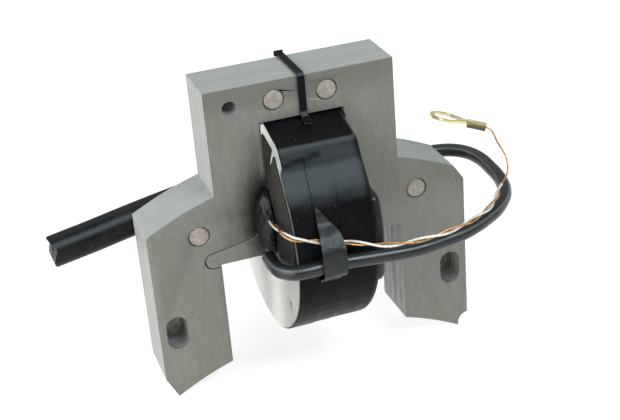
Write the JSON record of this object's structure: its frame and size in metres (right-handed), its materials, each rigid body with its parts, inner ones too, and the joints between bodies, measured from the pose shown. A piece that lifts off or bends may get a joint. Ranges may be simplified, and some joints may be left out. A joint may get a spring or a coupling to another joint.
{
  "type": "ignition coil",
  "caption": "Small-engine ignition coil: two-legged riveted lamination stack carrying a taped round winding, high-tension lead, primary lead and an earth pair with ring terminal.",
  "frame": {"origin": "middle of the lamination stack's width and depth, at the level of the two leg tips", "axes": "+X across the legs towards the primary lead's loop, +Y to the back of the stack, +Z from the leg tips up to the head"},
  "size_m": [0.1246, 0.0727, 0.086],
  "materials": {
    "lamination_steel": "satin, mottled, rust-free rolled sheet with sheared edges",
    "rivet_steel": "satin, warm grey, set flush",
    "fibre": "matt off-white fibre board",
    "bobbin_plastic": "matt natural plastic",
    "black_tape": "semi-gloss stretched vinyl tape",
    "potting_resin": "glossy lumpy resin",
    "lead_insulation": "semi-gloss PVC",
    "insulating_paper": "varnished paper",
    "copper": "enamelled copper wire",
    "tinned_copper": "tinned copper wire",
    "brass": "bright stamped brass"
  },
  "bodies": {
    "root": {"lamination_pack_1": "lamination_steel", "lamination_pack_2": "lamination_steel", "lamination_pack_3": "lamination_steel", "lamination_pack_4": "lamination_steel", "lamination_pack_5": "lamination_steel", "lamination_pack_6": "lamination_steel", "lamination_pack_7": "lamination_steel", "lamination_pack_8": "lamination_steel", "rivet_head_left": "rivet_steel", "rivet_head_right": "rivet_steel", "rivet_shoulder_left": "rivet_steel", "rivet_shoulder_right": "rivet_steel", "bobbin_tube": "bobbin_plastic", "flange_left": "fibre", "flange_right": "fibre", "primary_winding": "copper", "layer_insulation": "insulating_paper", "secondary_winding": "copper", "outer_wrap": "black_tape", "cover_tape": "black_tape", "terminal_boss": "potting_resin", "potting_lump": "potting_resin", "high_tension_outlet": "potting_resin", "lead_strap": "black_tape", "tie_strip": "black_tape", "primary_lead": "lead_insulation", "high_tension_lead": "lead_insulation", "tinned_wire": "tinned_copper", "copper_wire": "copper", "ring_terminal": "brass"}
  },
  "joints": []
}
